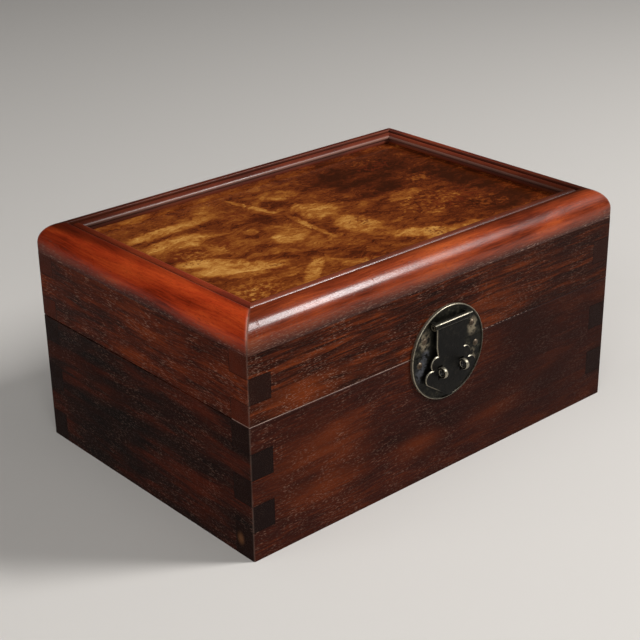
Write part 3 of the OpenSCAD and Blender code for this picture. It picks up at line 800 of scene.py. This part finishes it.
@dataclass
class Carcase:
    """The finger-jointed boards of the base and of the lid, and the bottom board."""

    base_joints: tuple[float, ...] = (0.0, 18.7 * MM, 35.1 * MM, 51.5 * MM, 67.9 * MM, SEAM_Z)
    lid_joints: tuple[float, ...] = (SEAM_Z, 97.5 * MM, 113.0 * MM, 126.2 * MM)

    def dress(self, nodes: dict[str, Piece]) -> None:
        """Gives each board its own cut of rosewood.

        Args:
            nodes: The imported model's nodes by name.
        """
        # The base is the darkest, its front with red glows and its sides near black with straight
        # bands. The lid's boards are a warmer brown, with close, crisp growth lines in front.
        base = dict(dark="#1c0905", ground="#32120a", light="#5c260e", joints=self.base_joints, fibre_share=0.55,
                    band_share=0.28, cloud_share=0.6, line_gap=13 * MM, line_strength=0.25, band_width=9 * MM,
                    glint_fleck_share=0.25)
        side = dict(dark="#120705", ground="#260f09", light="#4a1b0d", joints=self.base_joints, fibre_share=0.6,
                    cloud_share=0.5, line_gap=11 * MM, line_strength=0.5, band_width=10 * MM, band_share=1.3,
                    glint_fleck_share=0.25)
        lid = dict(dark="#1b0905", ground="#3f180a", light="#6e2f10", joints=self.lid_joints, fibre_share=0.8,
                   band_share=0.9, cloud_share=0.5, line_gap=4.2 * MM, line_strength=0.8, band_width=5 * MM,
                   glint_fleck_share=0.36)
        lid_side = dict(dark="#260d06", ground="#4e1c0b", light="#763112", joints=self.lid_joints, fibre_share=0.8,
                        band_share=0.8, cloud_share=0.5, line_gap=6 * MM, line_strength=0.35, band_width=6 * MM,
                        glint_fleck_share=0.45, pore_length=8.0)
        # Front boards: a painted highlight along the seam, painted glints in the pores that fade to the right, and
        # painted shade at the right
        base_own = dict(end="#1b0b07", seam_highlight_share=1.0, glint_fleck_fade=0.35,
                        mark=(Spot((-150, -90.5, 10.5), (4, 3.2, 4.4)),),
                        painted_shade=(Spot((120, -102, 42), (160, 60, 160)),),
                        glow=(Spot((-98, -102, 44), (34, 40, 26)), Spot((-22, -102, 24), (20, 40, 9)),
                              Spot((50, -102, 27), (26, 40, 10))))
        # As on the base: a painted seam highlight, fading painted glints and painted shade at the right
        lid_own = dict(end="#642510", seam_highlight_share=1.0, glint_fleck_fade=0.45,
                       painted_shade=(Spot((150, -102, 110), (170, 60, 160)),),
                       glow=(Spot((-110, -102, 92), (34, 40, 9)), Spot((30, -102, 96), (40, 40, 8))))
        front, across = Grain.ALONG_FRONT, Grain.ALONG_SIDE
        for part, board, grain, seed, shared, own in (
                ("base", "front", front, (0.31, 0.13, -0.02), base, base_own),
                ("base", "back", front, (1.17, -0.04, 0.05), base, {}),
                ("base", "left", across, (0.73, 0.21, 0.01), side, {"end": "#190d0b"}),
                ("base", "right", across, (2.41, -0.08, 0.03), side, {"end": "#200f0b"}),
                ("lid", "front", front, (0.52, 0.11, -0.09), lid, lid_own),
                ("lid", "back", front, (1.93, -0.07, -0.06), lid, {"end": "#5a2210"}),
                ("lid", "left", across, (3.11, 0.2, -0.08), lid_side, {"end": "#1d0f0b"}),
                ("lid", "right", across, (2.87, -0.12, -0.11), lid_side, {"end": "#26120d"})):
            cut = OiledRosewood(f"oiled rosewood, {board} of the {part}", grain, seed, **shared, **own)
            dress(nodes[f"{part}_{board}"], cut.make())
        dress(nodes["base_bottom"], OiledRosewood(
            "planed rosewood, bottom board", front, (4.4, 0.3, 0.2), dark="#2e150d", ground="#57301d",
            light="#74452b", line_gap=12 * MM, line_strength=0.3).make())


@dataclass(frozen=True)
class Rail:
    """One rail of the top frame: the node it replaces, where it goes and its finish.

    The half length is along the rail, the half depth is half the frame's other size, and the
    turn about Z takes a front rail to its side of the box. Two places, both counted along the
    rail from its middle, say where painted shade darkens the mouldings most and where the rail
    is darkest, by dirtiness and painted shade.
    """

    node: str
    half_length: float
    half_depth: float
    turn: float
    # Where painted shade darkens the mouldings most
    mouldings_shaded_at: float
    # Where the rail is darkest, by dirtiness and painted shade
    darkest_at: float
    finish: PolishedRosewood


@dataclass
class TopFrame:
    """The mitred frame of the lid, with its rounded edge, quirk and bead, and its burl panel.

    The last eight sizes say how far the painted highlight and the darkening reach: the painted
    highlight by a mitre, where the darkening over the mouldings, by dirtiness and painted shade,
    starts and how wide its edge is, how far painted shade goes along a rail and creeps out over
    it, and the painted shade of the foot, with what the darkest place and a mitre add.
    """

    foot: float = 126.2 * MM
    width: float = 20.5 * MM
    overhang: float = 1.2 * MM
    height: float = 19 * MM
    round_r: float = 13.5 * MM
    land: float = 0.7 * MM
    quirk: float = 1.7 * MM
    quirk_deep: float = 2.3 * MM
    groove_low: float = 8 * MM
    groove_high: float = 12.5 * MM
    groove_deep: float = 5 * MM
    corner_r: float = 1.2 * MM
    sharp_r: float = 0.04 * MM
    arris_r: float = 0.3 * MM
    mitre_gap: float = 0.03 * MM
    mitre_highlight: float = 0.9 * MM
    darkening_from: float = 8 * MM
    darkening_blend: float = 4.5 * MM
    shade_reach: float = 125 * MM
    shade_creep: float = 5.5 * MM
    foot_shade: float = 4.5 * MM
    darkest_reach: float = 5 * MM
    mitre_shade: float = 4 * MM

    def section(self) -> tuple[np.ndarray, np.ndarray]:
        """Works out a rail's section, walked from its outer foot over the top and back under.

        The outer edge is a quarter circle, then comes a flat land with an arc for its arris,
        the quirk, and the bead, a rounded ridge: at distance s from its middle its height is
        the quirk's depth times (1 - (s / half width)^1.5)^(1 / 1.5). The bead hangs a little
        over the panel, and a quarter ellipse under it leads back.

        Returns:
            Points as (inset from the outer face, height), and how pale each is painted, by rubbing and painted
            highlight, from 0 to 1.
        """
        turn = np.linspace(0, math.pi / 2, 25)[:, None]
        big = np.hstack([self.round_r * (1 - np.cos(turn)), self.height - self.round_r * (1 - np.sin(turn))])
        small = np.linspace(math.pi / 2, 0, 5)[:, None]
        edge, lip, low = self.round_r + self.land, self.width + self.overhang, self.height - self.quirk_deep
        arris = np.hstack([edge - self.arris_r * (1 - np.cos(small)),
                           self.height - self.arris_r * (1 - np.sin(small))])
        half = (lip - edge - self.quirk) / 2
        turned = np.linspace(math.pi, 0, 29)[:, None]
        bead = np.hstack([lip - half + half * np.sign(np.cos(turned)) * np.abs(np.cos(turned)) ** (1 / 0.75),
                          low + self.quirk_deep * np.abs(np.sin(turned)) ** (1 / 0.75)])
        under = np.hstack([self.width + self.overhang * np.cos(small[::-1]), low - 1.6 * MM * np.sin(small[::-1])])
        inner = self.width - self.groove_deep
        groove = np.array([[self.width, self.groove_high], [inner, self.groove_high], [inner, self.groove_low],
                           [self.width, self.groove_low], [self.width, 0]])
        # Pale by rubbing and painted highlight: the land's arris and the bead, and most the lip under the bead,
        # which is a painted reflection
        parts = [(np.array([[0, 0], [0, 1 * MM]]), 0.0), (big, 0.0), (arris, 0.3), (np.array([[edge, low]]), 0.0),
                 (bead, 0.1), (under[1:], 0.35), (groove, 0.0)]
        return np.vstack([p for p, _ in parts]), np.concatenate([np.full(len(p), w) for p, w in parts])

    def build_rail(self, rail: Rail) -> Piece:
        """Builds one rail: the section carried along a side of a rectangle with softened corners.

        At inset d the path is the side of a rectangle that is d smaller all round, whose
        corners are arcs of radius corner_r outside the quirk and almost sharp inside it. Each
        end stops half way round its arc, which is the mitre.

        Args:
            rail: The rail.

        Returns:
            The finished mesh, with its pale, dark and dusty parts marked: pale by rubbing, painted highlight and
            painted reflection, dark by dirtiness, painted shadow and painted shade.
        """
        section, section_wear_and_highlight = self.section()
        inset, rise = section[:, :1], section[:, 1:]
        radius = np.where(inset <= self.round_r, self.corner_r, self.sharp_r)
        angle = np.linspace(math.pi / 4, math.pi / 2, 6)[None, :]
        # Steps away from the arc, each about twice as far as the last
        steps = np.array([0.6, 1.5, 3, 6, 12, 25, 50])[None, :] * MM
        end = rail.half_length - inset - radius - self.mitre_gap
        right_x = np.hstack([end + radius * np.cos(angle), end - steps])
        straight = np.zeros((len(inset), steps.size))
        right_y = rail.half_depth - inset + np.hstack([radius * (np.sin(angle) - 1), straight])
        x = np.hstack([-right_x, right_x[:, ::-1]])
        y = -np.hstack([right_y, right_y[:, ::-1]])
        points = np.stack([x, y, np.broadcast_to(self.foot + rise, x.shape)], axis=-1).reshape(-1, 3)
        cos, sin = math.cos(rail.turn), math.sin(rail.turn)
        rows, columns = x.shape
        start = np.arange(rows) * columns
        faces = grid_faces(rows, columns)[:, ::-1].tolist()
        faces += [start[::-1].tolist(), (start + columns - 1).tolist()]
        turned = points @ np.array([[cos, sin, 0], [-sin, cos, 0], [0, 0, 1]])
        piece = make_piece("moulded_" + rail.node, turned, faces)
        for layer, amount in self.soil(rail, x, inset, rise, section_wear_and_highlight[:, None]).items():
            made = piece.data.attributes.new(layer, "FLOAT", "POINT")
            made.data.foreach_set("value", np.clip(amount, 0, 1).astype(np.float32).ravel())
        return piece

    def soil(self, rail: Rail, x: np.ndarray, inset: np.ndarray, rise: np.ndarray,
             section_wear_and_highlight: np.ndarray) -> dict[str, np.ndarray]:
        """Works out how pale, how dark and how dusty a rail is painted at each point.

        The arrises and the mitres are paler, partly rubbed and partly painted highlight, and the
        lip of all but the front rail carries a painted reflection. The quirk is dark with some
        dirtiness and most with its painted shadow, and the mouldings, the foot, more so by the
        mitres, and the rail's darkest place are darkened by dirtiness and painted shade. The
        painted shadow reaches higher up the quirk of the near rails, and towards the place of most
        painted shade the darkening creeps out further, but not on the front one. Dust fills the
        pores of the foot.

        Args:
            rail: The rail.
            x: Each point's place along the rail, from its middle.
            inset: How far each row of points lies in from the outer face.
            rise: How far it lies above the foot.
            section_wear_and_highlight: How pale the section is painted there, by rubbing and painted highlight.

        Returns:
            The amounts, from 0 to 1 where they count, as "worn", "grime" and "dust".
        """
        outside, off_mitre = inset <= self.round_r, rail.half_length - np.abs(x) - inset
        # Painted highlight along each mitre's arris, partly rubbed paler
        worn = np.exp(-(off_mitre / self.mitre_highlight) ** 2) * (0.4 + 0.6 * (inset < self.darkening_from)) * outside
        # Painted reflection on the inner lip of all but the front rail
        lip_reflection = 0.9 * (inset > self.width + 0.55 * self.overhang) * (rail.turn != 0)
        # Painted shadow in the quirk, reaching higher on the near rails
        quirk_shadow_top = (0.12 if rail.turn <= 0 else 0.8) * self.quirk_deep
        middle = self.round_r + self.land + self.quirk / 2
        in_quirk = (np.abs(inset - middle) < self.quirk / 2 + 0.5 * MM) & (self.height - rise > quirk_shadow_top)
        # Painted shade over the mouldings, most towards one corner, with some dirtiness
        painted_shade = np.clip(1 - np.abs(x - rail.mouldings_shaded_at) / self.shade_reach, 0, 1)
        creep = self.shade_creep * painted_shade * (rail.turn != 0)
        mouldings = (0.46 + 0.54 * painted_shade) * np.clip((inset - self.darkening_from + creep) / self.darkening_blend, 0, 1)
        off_darkest = np.abs(x - rail.darkest_at)
        # Painted shade up the foot, higher by the mitres and towards the darkest place
        reach = self.foot_shade + self.darkest_reach * np.clip(1 - off_darkest / (200 * MM), 0, 1)
        reach = reach + self.mitre_shade * np.exp(-np.maximum(off_mitre, 0) / (16 * MM))
        foot = 0.95 * np.clip(1.2 - rise / reach, 0, 1) * (inset < self.round_r)
        # Darker all over towards the darkest place, by dirtiness and painted shade
        dull = 0.45 * np.clip(1 - off_darkest / (95 * MM), 0, 1)
        return {"worn": np.maximum(np.maximum(worn, section_wear_and_highlight), lip_reflection),
                "grime": np.maximum(np.maximum(in_quirk, mouldings), np.maximum(foot, dull)),
                "dust": np.clip(1.35 - rise / reach, 0, 1) * (inset < self.round_r)}

    def build(self) -> None:
        """Builds and dresses the four rails."""
        front, across = Grain.ALONG_FRONT, Grain.ALONG_SIDE
        # All are red under a clear gloss: the front shines most and has been knocked, and the left is reddest and
        # lightest, partly its own colour and partly painted light
        knock = (Spot((-139, -98.5, 141.5), (0.9, 4, 4)), Spot((-56, -98.5, 142.5), (0.5, 3, 3)),
                 Spot((-138.2, -101.5, 135.5), (1.6, 2, 1.6)))
        cut = partial(PolishedRosewood, fibre_share=0.5, band_share=0.65, cloud_share=0.75, pore_width=0.38 * MM,
                      pore_length=8.0)
        for rail in (
                Rail("rail_front", HALF_W, HALF_D, 0.0, HALF_W, -HALF_W, cut(
                    "polished rosewood, rail front", front, (0.15, 0.4, 0.02), "#521d0d", "#85361a", "#aa4f24",
                    gloss=0.21, knock=knock)),
                Rail("rail_back", HALF_W, HALF_D, math.pi, HALF_W, HALF_W, cut(
                    "polished rosewood, rail back", front, (1.35, 0.1, 0.07), "#4a180d", "#7c2f19", "#9c4420")),
                Rail("rail_left", HALF_D, HALF_W, -math.pi / 2, -HALF_D, -HALF_D, cut(
                    "polished rosewood, rail left", across, (2.2, 0.3, 0.01), "#5c1808", "#a63516", "#c84e20")),
                Rail("rail_right", HALF_D, HALF_W, math.pi / 2, -HALF_D, -HALF_D, cut(
                    "polished rosewood, rail right", across, (3.3, 0.2, 0.05), "#4a180d", "#862f17", "#a5481f"))):
            piece = self.build_rail(rail)
            dress(piece, rail.finish.make())
            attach(piece, "lid")
            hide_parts(rail.node)
            log.info("built %s, %d faces", piece.name, len(piece.data.polygons))

    def dress_panel(self, nodes: dict[str, Piece]) -> None:
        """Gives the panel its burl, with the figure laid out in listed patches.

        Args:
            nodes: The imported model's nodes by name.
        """
        panel_top, through = 138.7, 40
        # Each patch: its middle's X and Y, its half sizes and its turn, in millimetres and degrees
        gold = [(-98, 27, 27, 11, 0), (-90, 48, 34, 7, 0), (-103, -12, 22, 8, -35), (-92, -30, 34, 8, -22),
                (-40, -10, 15, 11, 20), (-66, -60, 27, 5, 42), (-55, 11, 6, 5, 0), (0, 50, 15, 10, -25),
                (0, 12, 16, 16, 0), (2, -23, 14, 19, 0), (22, -60, 27, 8, -35), (-27, 45, 3, 24, 12),
                (-21, -4, 3, 26, -4), (42, -70, 24, 6, 0), (60, -5, 16, 7, 10)]
        shade = [(-62, 32, 26, 13, -20), (-12, 36, 8, 5, 0), (-35, 25, 7, 14, 0), (-30, -48, 12, 5, -25),
                 (-60, -12, 14, 6, 20), (70, 45, 48, 24, 0), (112, 0, 16, 40, 0), (52, 15, 22, 12, 0),
                 (-15, -66, 22, 8, -30), (100, -55, 30, 16, 0)]
        wedge = [(-62, -37, 19, 9, -28), (-34, -58, 17, 6, -40)]
        budded = [(-108, 6, 17, 17, 0), (-80, 6, 9, 13, 0), (-108, -61, 22, 17, 0), (-78, -43, 11, 7, 0),
                  (7, -20, 9, 12, 0), (-30, -71, 17, 8, 0), (30, -64, 12, 10, 0), (4, 42, 9, 6, 0),
                  (-45, 40, 12, 8, 0), (75, -28, 36, 20, 0), (85, 50, 20, 12, 0)]
        eyed = [(65, -25, 34, 24, 0), (92, -48, 22, 14, 0), (92, 14, 16, 12, 0), (-108, -63, 18, 14, 0),
                (-104, 8, 12, 9, 0), (-30, -72, 12, 6, 0), (84, 60, 14, 6, 0)]
        spots = [tuple(Spot((x, y, panel_top), (half_x, half_y, through), turn)
                       for x, y, half_x, half_y, turn in part) for part in (gold, shade, wedge, budded, eyed)]
        dress(nodes["burl_panel"], PolishedBurl("polished burl", *spots).make())


@dataclass
class LockSet:
    """The split round plate with its nails, the hasp on its pin, and the two eye posts.

    An axis is its Y and Z. A post's eye is post_t thick, its neck reaches back to the plate,
    its tail goes through the board, and its ends are clenched clear of the wood inside.
    """

    plate_z: float = 80.6 * MM
    rim_radius: float = 29.5 * MM
    hasp_axis: tuple[float, float] = (-106.4 * MM, 101.8 * MM)
    post_x: float = 9 * MM
    post_axis: tuple[float, float] = (-108.2 * MM, 71.3 * MM)
    post_r: float = 3.5 * MM
    bore_r: float = 1.75 * MM
    post_t: float = 2.5 * MM
    neck_w: float = 5 * MM
    tail_w: float = 4 * MM
    clench_len: float = 7 * MM
    clench_t: float = 1.05 * MM
    plate_face: float = -103.3 * MM
    clear: float = 0.05 * MM

    def eye(self, x: float) -> tuple[np.ndarray, list]:
        """Works out an eye: a rounded rectangle turned about the bar's axis, which runs along X.

        The section is |a / half thickness|^3 + |b / half width|^3 = 1, with a along the axis
        and b from the middle of the ring's wall, so its edges are well rounded.

        Args:
            x: Where the eye's middle is.

        Returns:
            Its points and its faces.
        """
        turn = np.linspace(0, 2 * math.pi, 24, endpoint=False)[None, :]
        round_eye = np.linspace(0, 2 * math.pi, 48, endpoint=False)[:, None]
        wall = (self.post_r - self.bore_r) / 2
        along = self.post_t / 2 * np.sign(np.cos(turn)) * np.abs(np.cos(turn)) ** (2 / 3)
        reach = self.bore_r + wall + wall * np.sign(np.sin(turn)) * np.abs(np.sin(turn)) ** (2 / 3)
        points = np.stack(np.broadcast_arrays(x + along, self.post_axis[0] + reach * np.cos(round_eye),
                                              self.post_axis[1] + reach * np.sin(round_eye)), axis=-1)
        return points.reshape(-1, 3), grid_faces(48, 24, closed_columns=True).tolist()

    def build_posts(self) -> Piece:
        """Builds both eye posts: the eye, its neck, its tail through the board, and the clenched ends.

        Returns:
            The piece that holds both.
        """
        points, faces, count = [], [], 0
        depth, height = self.post_axis
        half_t, neck, tail = self.post_t / 2 - self.clear, self.neck_w / 2, self.tail_w / 2
        inside = BOARD - HALF_D + self.clear
        for x in (-self.post_x, self.post_x):
            # A block's nearest and furthest Y, its half height and the radius of its edges
            blocks = ((depth + 2.2 * MM, self.plate_face, neck, 0.5 * MM),
                      (self.plate_face - 1 * MM, inside + self.clench_t, tail, 0.3 * MM),
                      (inside, inside + self.clench_t, tail + self.clench_len, 0.35 * MM))
            parts = [self.eye(x)] + [
                rounded_block((x - half_t, near, height - half), (x + half_t, far, height + half), radius)
                for near, far, half, radius in blocks]
            for part_points, part_faces in parts:
                points.append(part_points)
                faces += [[corner + count for corner in face] for face in part_faces]
                count += len(part_points)
        return make_piece("filed_eye_posts", np.vstack(points), faces, merge=True)

    def build(self, nodes: dict[str, Piece]) -> None:
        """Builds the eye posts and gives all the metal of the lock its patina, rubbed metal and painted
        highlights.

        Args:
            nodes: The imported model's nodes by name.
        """
        # Near-black plate and hasp whose rims and edges are pale, partly rubbed and partly painted highlight,
        # posts with painted highlights on their edges, a bluish painted reflection on the plate, and nails rubbed
        # to brown
        lug = (*self.hasp_axis, 2.0 * MM), (*self.hasp_axis, 1.25 * MM)
        eye = (*self.post_axis, self.post_r - 0.22 * MM), (*self.post_axis, self.bore_r + 0.4 * MM)
        plate = PatinatedBrass(
            "patinated brass, lock plate", patina="#13120f", mottle="#2b2920", patch="#857a66", edge_wear_and_highlight=0.3,
            scuff=0.25, rim=(0.0, self.plate_z, self.rim_radius), split=SEAM_Z, rings=lug,
            rubbed=(Spot((-20, -103, 93), (4.5, 9, 6)), Spot((20.5, -103, 91), (4, 9, 6)),
                    Spot((21, -103, 71), (3, 9, 5))),
            reflection_spots=(Spot((-22, -103, 75), (5, 9, 8)), Spot((-19, -103, 84), (3, 9, 4)))).make()
        strap = PatinatedBrass("patinated brass, hasp", patina="#0d0c0a", mottle="#161410", edge_wear_and_highlight=0.75,
                               scuff=0.05, sound=(Spot((2, -105, 56), (14, 9, 9)),)).make()
        pin = PatinatedBrass("patinated brass, hasp pin", edge_wear_and_highlight=0.4, rings=lug).make()
        post = PatinatedBrass("patinated brass, eye posts", patina="#0d0c0a", mottle="#16130f", edge_wear_and_highlight=0.0,
                              rings=eye, rings_all_round=True).make()
        nail = PatinatedBrass("rubbed brass, dome nails", patina="#40352b", mottle="#615344", bright="#92836f",
                              edge_wear_and_highlight=0.3).make()
        for name, material in (("lock_plate_lower", plate), ("lock_plate_upper", plate), ("hasp", strap),
                               ("hasp_pin", pin), ("lower_plate_nails", nail), ("upper_plate_nails", nail)):
            dress(nodes[name], material)
        posts = self.build_posts()
        dress(posts, post)
        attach(posts, "base")
        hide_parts("eye_posts")
        log.info("built %s, %d faces", posts.name, len(posts.data.polygons))


@dataclass
class BackHinges:
    """The two butt hinges at the back, with their pins and countersunk screws."""

    leaves: tuple[str, ...] = ("hinge_left_lower", "hinge_right_lower", "hinge_left_upper", "hinge_right_upper")
    turned: tuple[str, ...] = ("hinge_pins", "lower_hinge_screws", "upper_hinge_screws")

    def dress(self, nodes: dict[str, Piece]) -> None:
        """Gives the hinges dull, handled brass.

        Args:
            nodes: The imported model's nodes by name.
        """
        # Yellower than the lock, because hands seldom reach them: dull leaves and lighter screws
        leaf = PatinatedBrass("dull brass, hinge leaves", patina="#4a4028", mottle="#6b5d3a", bright="#a08f62",
                              edge_wear_and_highlight=0.4).make()
        screw = PatinatedBrass("dull brass, screws", patina="#5c5034", mottle="#7d6c46", bright="#b09d6d",
                               edge_wear_and_highlight=0.4).make()
        for names, brass in ((self.leaves, leaf), (self.turned, screw)):
            for name in names:
                dress(nodes[name], brass)


# ---------- the studio


@dataclass
class Softbox:
    """A rectangular lamp that looks at the box from a bearing and a height."""

    name: str
    bearing_deg: float
    height_deg: float
    distance: float
    width: float
    depth: float
    power: float
    turn_deg: float = 0.0

    def place(self, target: Vector) -> None:
        """Hangs the lamp. Its bearing is counted from the front of the box towards its right.

        Args:
            target: The point it looks at.
        """
        lamp = bpy.data.lights.new(self.name, "AREA")
        lamp.shape = "RECTANGLE"
        lamp.size, lamp.size_y, lamp.energy = self.width, self.depth, self.power
        bearing, height = math.radians(self.bearing_deg), math.radians(self.height_deg)
        flat = math.cos(height)
        way = Vector((math.sin(bearing) * flat, -math.cos(bearing) * flat, math.sin(height)))
        holder = bpy.data.objects.new(self.name, lamp)
        holder.location = target + way * self.distance
        facing = way.to_track_quat("Z", "Y") @ Quaternion((0, 0, 1), math.radians(self.turn_deg))
        holder.rotation_euler = facing.to_euler()
        bpy.context.scene.collection.objects.link(holder)


@dataclass
class Studio:
    """A plain pale floor, soft lamps, a dim surround and the camera at the photograph's place."""

    floor_reach: float = 6.0
    floor_z: float = -0.05 * MM
    lens_mm: float = 82.25
    azimuth_deg: float = -41.18
    elevation_deg: float = 24.53
    roll_deg: float = 0.92
    camera_at: tuple[float, float, float] = (-0.5696, -0.6399, 0.4578)
    sensor_mm: float = 36.0
    clip_start: float = 20 * MM
    lamps_look_at: tuple[float, float, float] = (0, 0, 100 * MM)
    surround: str = "#b8b6b4"
    surround_strength: float = 0.06

    def lay_floor(self) -> None:
        """Lays the floor as one wide square just under the box."""
        corners = np.array([[x * self.floor_reach, y * self.floor_reach, self.floor_z]
                            for x, y in ((-1, -1), (1, -1), (1, 1), (-1, 1))])
        floor = make_piece("floor", corners, [[0, 1, 2, 3]])
        dress(floor, PaintedFloor().make())

    def light(self) -> None:
        """Hangs the lamps and lights the surround."""
        # The key is a long narrow lamp, whose streak the front rail shows; the others only fill in
        for box in (Softbox("key_softbox", 46, 40, 2.06, 0.29, 0.78, 46.0, -32.0),
                    Softbox("near_softbox", -42, 36, 1.35, 0.7, 0.6, 5.0),
                    Softbox("overhead_softbox", -60, 78, 3.0, 2.4, 2.4, 20.0),
                    Softbox("left_softbox", -100, 30, 2.2, 1.4, 1.0, 8.0)):
            box.place(Vector(self.lamps_look_at))
        world = bpy.data.worlds.new("surround")
        world.use_nodes = True
        plug_in(world.node_tree.nodes["Background"], (linear(self.surround), self.surround_strength))
        bpy.context.scene.world = world

    def set_camera(self) -> None:
        """Puts the camera where the photograph was taken from.

        The camera's own axes are worked out from azimuth, elevation and roll: it looks along
        the azimuth, down by the elevation, and is rolled about its line of sight.
        """
        azimuth, elevation, roll = (math.radians(a) for a in (self.azimuth_deg, self.elevation_deg, self.roll_deg))
        forward = Vector((-math.sin(azimuth) * math.cos(elevation), math.cos(azimuth) * math.cos(elevation),
                          -math.sin(elevation)))
        right = Vector((math.cos(azimuth), math.sin(azimuth), 0))
        down = forward.cross(right)
        level = math.cos(roll) * right + math.sin(roll) * down
        upright = math.sin(roll) * right - math.cos(roll) * down
        camera = bpy.data.objects.new("camera", bpy.data.cameras.new("camera"))
        camera.data.lens = self.lens_mm
        camera.data.sensor_fit = "HORIZONTAL"
        camera.data.sensor_width = self.sensor_mm
        camera.data.clip_start = self.clip_start
        turned = Matrix((level, upright, -forward)).transposed().to_4x4()
        camera.matrix_world = Matrix.Translation(Vector(self.camera_at)) @ turned
        bpy.context.scene.collection.objects.link(camera)
        bpy.context.scene.camera = camera

    def build(self) -> None:
        """Sets up the whole studio."""
        self.lay_floor()
        self.light()
        self.set_camera()
        bpy.context.scene.view_settings.view_transform = "Standard"
        log.info("studio ready")


def main() -> None:
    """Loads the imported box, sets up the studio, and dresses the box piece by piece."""
    logging.basicConfig(level=logging.INFO, format="%(name)s: %(message)s")
    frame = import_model()
    nodes = frame["nodes"]
    Studio().build()
    Carcase().dress(nodes)
    frame_top = TopFrame()
    frame_top.build()
    frame_top.dress_panel(nodes)
    LockSet().build(nodes)
    BackHinges().dress(nodes)


if __name__ == "__main__":
    main()
